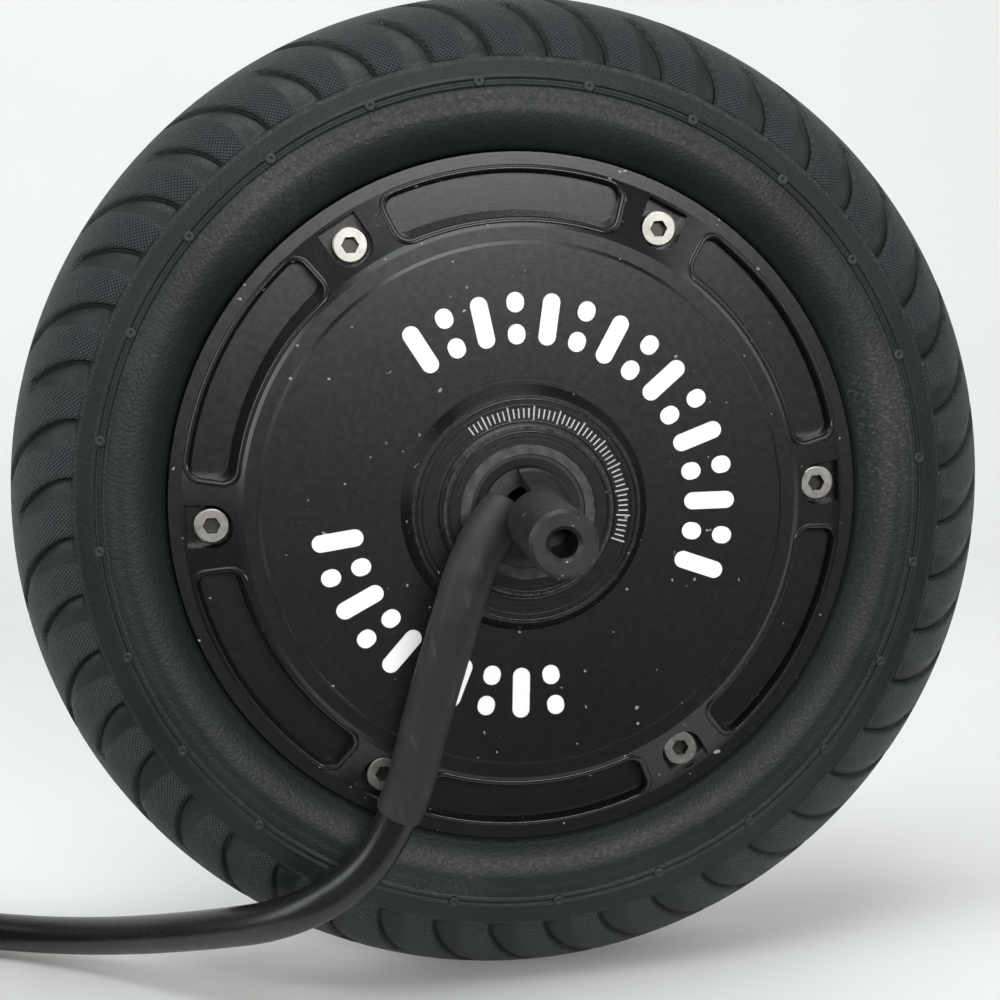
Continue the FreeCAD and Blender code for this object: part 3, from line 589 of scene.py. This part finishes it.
# Pale rings on the turned edges round the hub: partly worn paint, partly painted highlight.
edge_wear_and_highlight = ramp(add, wire, maths("MULTIPLY", reach, 10.0),
                 [(0.157, 0.0), (0.1610, 0.10), (0.1650, 0.0), (0.2165, 0.0), (0.2185, 0.04), (0.2205, 0.0)])
broken = ramp(add, wire, noise(add, wire, coords, 700, 3.0), [(0.35, 0.2), (0.6, 1.0)])
edge_wear_and_highlight = maths("MULTIPLY", edge_wear_and_highlight, broken)
light = maths("MINIMUM", maths("ADD", specks, edge_wear_and_highlight), 1.0)
dust_wear_and_highlight = add("ShaderNodeMixRGB")
wire(light, dust_wear_and_highlight.inputs[0])
wire(base, dust_wear_and_highlight.inputs[1])
dust_wear_and_highlight.inputs[2].default_value = (0.55, 0.55, 0.53, 1)
wire(dust_wear_and_highlight.outputs[0], shader.inputs["Base Color"])
# Tool marks of the last turning cut show through the paint as faint rings.
cut_feed = 0.0009
turned_rings = maths("SINE", maths("MULTIPLY", reach, 2 * math.pi / cut_feed))
near_hub = ramp(add, wire, maths("MULTIPLY", reach, 10.0),
                [(0.10, 1.0), (0.24, 1.0), (0.26, 0.12), (1.0, 0.12)])
bump(add, wire, shader, maths("MULTIPLY", turned_rings, near_hub), 0.10, 0.00003)
for name in ("front_cover", "rear_cover"):
    nodes[name].data.materials.clear()
    nodes[name].data.materials.append(cover_paint)


# ---- window rims ----
# A raised rounded rim, cast and painted with the cover, runs round each of its six windows. Its
# outline is a rounded rectangle bent round the cover's cone, and its section a low ellipse.
frame_middle, frame_half_long, frame_half_high, frame_corner = 0.06018, 0.0230, 0.0051, 0.0030
cone_top, cone_start, cone_slope = 0.0254, 0.055, 0.579
rim_half_width, rim_height = 0.00060, 0.00034
outline = []
for k, (right, up) in enumerate(((1, 1), (-1, 1), (-1, -1), (1, -1))):
    turn = np.radians(90 * k + np.linspace(0, 90, 9))
    corner = np.stack([right * (frame_half_long - frame_corner) + frame_corner * np.cos(turn),
                       up * (frame_half_high - frame_corner) + frame_corner * np.sin(turn)], -1)
    outline.append(corner)
    long_side = k % 2 == 0
    next_corner = corner[-1] * ((-1, 1) if long_side else (1, -1))
    outline.append(np.linspace(corner[-1], next_corner, 28 if long_side else 5)[1:-1])
outline = np.concatenate(outline)
frames = []
for k in range(6):
    around_cover = math.radians(30 + 60 * k) + outline[:, 0] / frame_middle
    out = frame_middle + outline[:, 1]
    lie = cone_top - np.clip(out - cone_start, 0, None) * cone_slope
    centre = np.stack([out * np.cos(around_cover), -lie, out * np.sin(around_cover)], -1)
    facing = np.stack([0.5 * np.cos(around_cover), np.full_like(out, -0.866), 0.5 * np.sin(around_cover)], -1)
    ahead = np.roll(centre, -1, 0) - np.roll(centre, 1, 0)
    beside = np.cross(ahead, facing)
    beside /= np.linalg.norm(beside, axis=1)[:, None]
    section_turn = np.linspace(0, 2 * np.pi, 12, endpoint=False)[:, None]
    frames.append(centre[:, None] + rim_half_width * np.cos(section_turn) * beside[:, None]
                  + rim_height * np.sin(section_turn) * facing[:, None])
frames = np.array(frames)
for name, blocks in (("front_window_frames", frames[:, ::-1]), ("rear_window_frames", frames * (1, -1, 1))):
    piece = joined(name, blocks, close_u=True)
    piece.data.materials.append(cover_paint)
    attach(piece, "wheel")


def give(names, title, colours, rough, coarse, fine, grain, metal=0.0, stretch=(1, 1, 1)):
    """One finish for a group of carried-over nodes."""
    material = bpy.data.materials.new(title)
    finish_with(material, colours, rough, coarse, fine, grain, metal, stretch)
    for name in names:
        nodes[name].data.materials.clear()
        nodes[name].data.materials.append(material)
    return material


# ---- inlaid index marks ----
# White enamel laid into shallow recesses of the front cover and rubbed flush with the paint, in
# plain bars and dots.
give(["front_cover_marks"], "white_enamel",
     [(0.88, 0.88, 0.87), (0.93, 0.93, 0.92)], (0.30, 0.45), 80, 1500, 0.1)


# ---- hub beads ----
# The last turning cut leaves four fine beads round the boss and its collar: half-round rings,
# up to a quarter of a millimetre proud, in the cover's own paint.
bead_round, bead_sides = 144, 10
boss_face, collar_face = -0.0306, -0.0330
bead_turn = np.linspace(0, 2 * np.pi, bead_round, endpoint=False)
bead_section = np.linspace(0, 2 * np.pi, bead_sides, endpoint=False)
beads = []
for bead_radius, bead_face, bead_size in ((0.0213, boss_face, 0.00024), (0.0202, boss_face, 0.00016),
                                          (0.0171, boss_face, 0.00024), (0.0153, collar_face, 0.00020)):
    out = bead_radius + bead_size * np.cos(bead_section)
    forward = np.broadcast_to(bead_face - bead_size * np.sin(bead_section), (bead_round, bead_sides))
    beads.append(np.stack([np.outer(np.cos(bead_turn), out), forward,
                           np.outer(np.sin(bead_turn), out)], -1))
bead_piece = joined("hub_beads", np.array(beads)[:, ::-1], close_u=True)
bead_piece.data.materials.append(cover_paint)
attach(bead_piece, "wheel")


# ---- hub ticks ----
# Fine setting ticks laid round the boss in pale grey paint, every fifth one longer. Each is a
# thin rounded bar on the boss's face: one outline at the face and one a film of paint above it.
tick_count, tick_sides = 49, 12
tick_start, tick_pitch = -22.0, 3.0
tick_circle, tick_half_width, paint_film = 0.01865, 0.00014, 0.00003
tick_turn = np.linspace(0, 2 * np.pi, tick_sides, endpoint=False)
tick_bars = []
for k in range(tick_count):
    around_hub = math.radians(tick_start + tick_pitch * k)
    out = np.array((math.cos(around_hub), 0.0, math.sin(around_hub)))
    beside = np.array((-math.sin(around_hub), 0.0, math.cos(around_hub)))
    half_length = 0.00135 if k % 5 == 0 else 0.0008
    end_round = half_length * np.sign(np.cos(tick_turn)) + tick_half_width * np.cos(tick_turn)
    reach_out = tick_circle + end_round
    aside = tick_half_width * np.sin(tick_turn)
    rim_line = reach_out[:, None] * out + aside[:, None] * beside
    for lift in (0.0, paint_film):
        tick_bars.append(rim_line + np.array((0.0, boss_face - lift, 0.0)))
tick_points = np.array(tick_bars).reshape(-1, 3)
first = (np.arange(tick_count) * 2 * tick_sides)[:, None]
side = np.arange(tick_sides)[None]
after = (side + 1) % tick_sides
walls = np.stack([first + side, first + after, first + tick_sides + after, first + tick_sides + side], -1)
tick_mesh = bpy.data.meshes.new("hub_ticks")
tick_mesh.from_pydata(tick_points.tolist(), [], walls.reshape(-1, 4).tolist()
                      + (first + tick_sides + side).tolist() + (first + side)[:, ::-1].tolist())
ticks = bpy.data.objects.new("hub_ticks", tick_mesh)
bpy.context.scene.collection.objects.link(ticks)
tick_paint = bpy.data.materials.new("pale_tick_paint")
finish_with(tick_paint, [(0.42, 0.42, 0.41), (0.56, 0.56, 0.55)], (0.45, 0.6), 300, 1500, 0.1)
tick_mesh.materials.append(tick_paint)
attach(ticks, "wheel")


# ---- cover screws ----
# Stainless M4 socket-head screws, six to a cover, bright and lightly handled. They hold the
# covers to the rim.
screw_finish = give(["front_cover_screws", "rear_cover_screws"], "stainless_screw",
                    [(0.30, 0.29, 0.268), (0.40, 0.388, 0.362)], (0.32, 0.44), 260, 1500, 0.06, 1.0)
# The sockets and the heads' sides, below the rounded rim of the top, are darkened by height: painted shade of
# the recesses and pockets.
shader, add, wire = node_kit(screw_finish)
bright = shader.inputs["Base Color"].links[0].from_socket
position = add("ShaderNodeSeparateXYZ")
wire(add("ShaderNodeTexCoord").outputs["Object"], position.inputs[0])
from_middle = maths("MULTIPLY", maths("ABSOLUTE", position.outputs[1]), 10.0)
top = ramp(add, wire, from_middle, [(0.202, 0.16), (0.2065, 1.0)])
socket_painted_shade = add("ShaderNodeMixRGB", blend_type="MULTIPLY")
socket_painted_shade.inputs[0].default_value = 1.0
wire(bright, socket_painted_shade.inputs[1])
wire(top, socket_painted_shade.inputs[2])
wire(socket_painted_shade.outputs[0], shader.inputs["Base Color"])


# ---- axle and key ----
# The axle is turned alloy steel, blackened, with fine lathe rings and small bright handling
# marks. A key in it holds the stator's carrier.
axle_steel = bpy.data.materials.new("blackened_axle_steel")
shader, add, wire, coords, base = finish_with(
    axle_steel, [(0.020, 0.021, 0.022), (0.042, 0.043, 0.044)], (0.36, 0.50), 130, 1500, grain=0, metal=0.5)
rings = noise(add, wire, coords, 60, 4.0, (0.02, 40.0, 0.02))
bump(add, wire, shader, rings, 0.8, 0.00012)
handling = ramp(add, wire, noise(add, wire, coords, 800, 2.0), [(0.70, 0.0), (0.75, 0.6)])
handled = add("ShaderNodeMixRGB")
wire(handling, handled.inputs[0])
wire(base, handled.inputs[1])
handled.inputs[2].default_value = (0.45, 0.45, 0.44, 1)
wire(handled.outputs[0], shader.inputs["Base Color"])
for name in ("axle", "stator_key"):
    nodes[name].data.materials.clear()
    nodes[name].data.materials.append(axle_steel)


# ---- bearings and seals ----
# A ball bearing of ground steel in each cover, with a pressed cage, rubber shields and a circlip
# on the axle. Outside it are a blackened seal case and a rubber lip, and a gasket lies under
# each cover's edge.
give(["front_seal_case", "rear_seal_case"], "blackened_seal_case",
     [(0.045, 0.046, 0.048), (0.10, 0.10, 0.105)], (0.34, 0.48), 500, 1600, 0.2, 0.85)
give(["front_bearing_inner_ring", "rear_bearing_inner_ring", "front_bearing_outer_ring",
      "rear_bearing_outer_ring", "front_bearing_balls", "rear_bearing_balls"], "ground_bearing_steel",
     [(0.60, 0.60, 0.61), (0.70, 0.70, 0.71)], (0.12, 0.2), 200, 2000, 0.05, 1.0)
give(["front_circlip", "rear_circlip", "front_bearing_cage", "rear_bearing_cage"], "oiled_spring_steel",
     [(0.20, 0.20, 0.21), (0.32, 0.32, 0.33)], (0.28, 0.42), 200, 1800, 0.1, 1.0)
give(["front_gasket", "rear_gasket", "front_seal_lip", "rear_seal_lip", "front_bearing_shields",
      "rear_bearing_shields"], "seal_rubber",
     [(0.014, 0.014, 0.015), (0.026, 0.026, 0.027)], (0.5, 0.7), 90, 1500, 0.2)


# ---- inside of the motor ----
# Turned aluminium rim and carrier, mild steel flux ring, nickel-plated magnets, stacked
# laminations, enamelled copper coils, nylon end plates, and the sensors on their board.
give(["rotor_shell", "stator_carrier"], "turned_aluminium",
     [(0.62, 0.62, 0.63), (0.72, 0.72, 0.73)], (0.26, 0.40), 60, 1500, 0.2, 1.0, (0.05, 12.0, 0.05))
give(["flux_ring"], "mild_steel",
     [(0.32, 0.32, 0.33), (0.42, 0.42, 0.43)], (0.3, 0.45), 70, 1500, 0.2, 1.0)
give(["magnets"], "nickel_plate",
     [(0.62, 0.61, 0.58), (0.72, 0.71, 0.68)], (0.16, 0.28), 120, 1800, 0.05, 1.0)
give(["stator_core"], "stacked_laminations",
     [(0.22, 0.22, 0.23), (0.34, 0.34, 0.35)], (0.35, 0.5), 60, 900, 0.5, 0.9, (0.02, 30.0, 0.02))
give(["stator_windings"], "enamelled_copper",
     [(0.50, 0.19, 0.06), (0.66, 0.30, 0.11)], (0.24, 0.36), 160, 1600, 0.5, 0.9, (1.0, 6.0, 6.0))
give(["front_stator_insulator", "rear_stator_insulator"], "nylon_end_plate",
     [(0.62, 0.60, 0.52), (0.72, 0.70, 0.62)], (0.4, 0.55), 90, 1500, 0.2)
give(["hall_board"], "solder_mask",
     [(0.012, 0.11, 0.045), (0.02, 0.16, 0.07)], (0.2, 0.32), 120, 1500, 0.1)
give(["hall_sensors"], "black_epoxy",
     [(0.014, 0.014, 0.015), (0.024, 0.024, 0.025)], (0.4, 0.52), 200, 1800, 0.15)
give(["phase_leads"], "silicone_wire",
     [(0.014, 0.014, 0.015), (0.022, 0.022, 0.023)], (0.45, 0.6), 120, 1500, 0.2)


# ---- floor ----
# A pale seamless paper sweep under and behind the wheel: a flat floor, a quarter round and a
# wall, carried straight across.
floor_front, bend_start, bend_radius = -1.4, 0.45, 0.5
wall_bottom, wall_top = 0.45, 2.4
across = np.linspace(-1.9, 1.9, 40)
flat = np.linspace(floor_front, bend_start, 30)
bend_turn = np.linspace(0, np.pi / 2, 18)[1:]
bend_line = np.stack([bend_start + bend_radius * np.sin(bend_turn),
                      floor_height + bend_radius * (1 - np.cos(bend_turn))], -1)
rise = np.stack([np.full(12, bend_start + bend_radius), np.linspace(wall_bottom, wall_top, 12)], -1)
sweep_line = np.concatenate([np.stack([flat, np.full(30, floor_height)], -1), bend_line, rise])
sweep_points = np.empty((len(across), len(sweep_line), 3))
sweep_points[..., 0] = across[:, None]
sweep_points[..., 1:] = sweep_line[None]
backdrop = grid_mesh("pale_sweep", sweep_points)
paper = bpy.data.materials.new("pale_paper")
finish_with(paper, [(0.83, 0.83, 0.81), (0.86, 0.86, 0.84)], (0.85, 0.95), 4, 300, 0.05)
backdrop.data.materials.append(paper)


# ---- light ----
# A low wide key light before the wheel, a soft light on each side and one above, a wash on the
# sweep, and a dim cool room.
world = bpy.data.worlds.new("studio")
bpy.context.scene.world = world
world.use_nodes = True
room_light = world.node_tree.nodes["Background"]
room_light.inputs[0].default_value = (0.86, 0.96, 1.0, 1)
room_light.inputs[1].default_value = 0.10
# Past the sweep's edge the studio wall shows pale, though it gives little light.
seen_wall = world.node_tree.nodes.new("ShaderNodeBackground")
seen_wall.inputs[0].default_value = (0.74, 0.745, 0.735, 1)
look = world.node_tree.nodes.new("ShaderNodeLightPath")
either = world.node_tree.nodes.new("ShaderNodeMixShader")
world.node_tree.links.new(look.outputs["Is Camera Ray"], either.inputs[0])
world.node_tree.links.new(room_light.outputs[0], either.inputs[1])
world.node_tree.links.new(seen_wall.outputs[0], either.inputs[2])
world.node_tree.links.new(either.outputs[0], world.node_tree.nodes["World Output"].inputs[0])


def soft_light(name, place, aim, size, power, colour=(1, 1, 1)):
    """Rectangular soft light at a place, facing a point: its axes are the direction back from that
    point, and the level and the upright direction square to it."""
    data = bpy.data.lights.new(name, "AREA")
    data.shape = "RECTANGLE"
    data.size, data.size_y = size
    data.energy = power
    data.color = colour
    lamp = bpy.data.objects.new(name, data)
    bpy.context.scene.collection.objects.link(lamp)
    back = np.array(place) - np.array(aim)
    back = back / np.linalg.norm(back)
    right = np.cross((0.0, 0.0, 1.0), back)
    right /= np.linalg.norm(right)
    up = np.cross(back, right)
    lamp.matrix_world = Matrix.Translation(place) @ Matrix((right, up, back)).transposed().to_4x4()
    return lamp


soft_light("front_key", (0.15, -1.60, 0.42), (0, 0, 0), (0.9, 0.3), 17.0, (1.0, 0.99, 0.97))
soft_light("left", (-1.2, -0.45, 0.50), (0, 0, 0), (0.6, 0.9), 6.0, (0.95, 0.99, 1.0))
soft_light("right", (1.2, -0.35, 0.55), (0, 0, 0), (0.6, 0.9), 4.0, (0.95, 0.99, 1.0))
soft_light("top", (-0.1, -0.30, 1.2), (0, 0, 0), (1.0, 0.7), 9.0, (0.95, 0.99, 1.0))
soft_light("backdrop_wash", (0.0, 0.15, 1.7), (0, 0.95, 0.25), (1.8, 0.6), 4.8)


# ---- black flag ----
# A black sheet on the floor before the wheel keeps the white floor out of the gloss of the black paint. Only
# reflections see it: it is painted dark reflection, not a cloth in the room.
flag_steps = 9
flag_across, flag_deep = np.meshgrid(np.linspace(-1.2, 1.2, flag_steps),
                                     np.linspace(-1.5, -0.06, flag_steps), indexing="ij")
flag_height = np.full_like(flag_across, floor_height + 0.001)
flag = grid_mesh("gloss_flag", np.stack([flag_across, flag_deep, flag_height], -1))
flag_reflection_shade = bpy.data.materials.new("reflection_shade_flag")
finish_with(flag_reflection_shade, [(0.02, 0.02, 0.02), (0.04, 0.04, 0.04)], (0.9, 0.98), 6, 300, 0.05)
flag.data.materials.append(flag_reflection_shade)
for ray in ("visible_camera", "visible_diffuse", "visible_shadow", "visible_transmission"):
    setattr(flag, ray, False)

bpy.context.scene.view_settings.view_transform = "Standard"
bpy.context.scene.view_settings.look = "None"
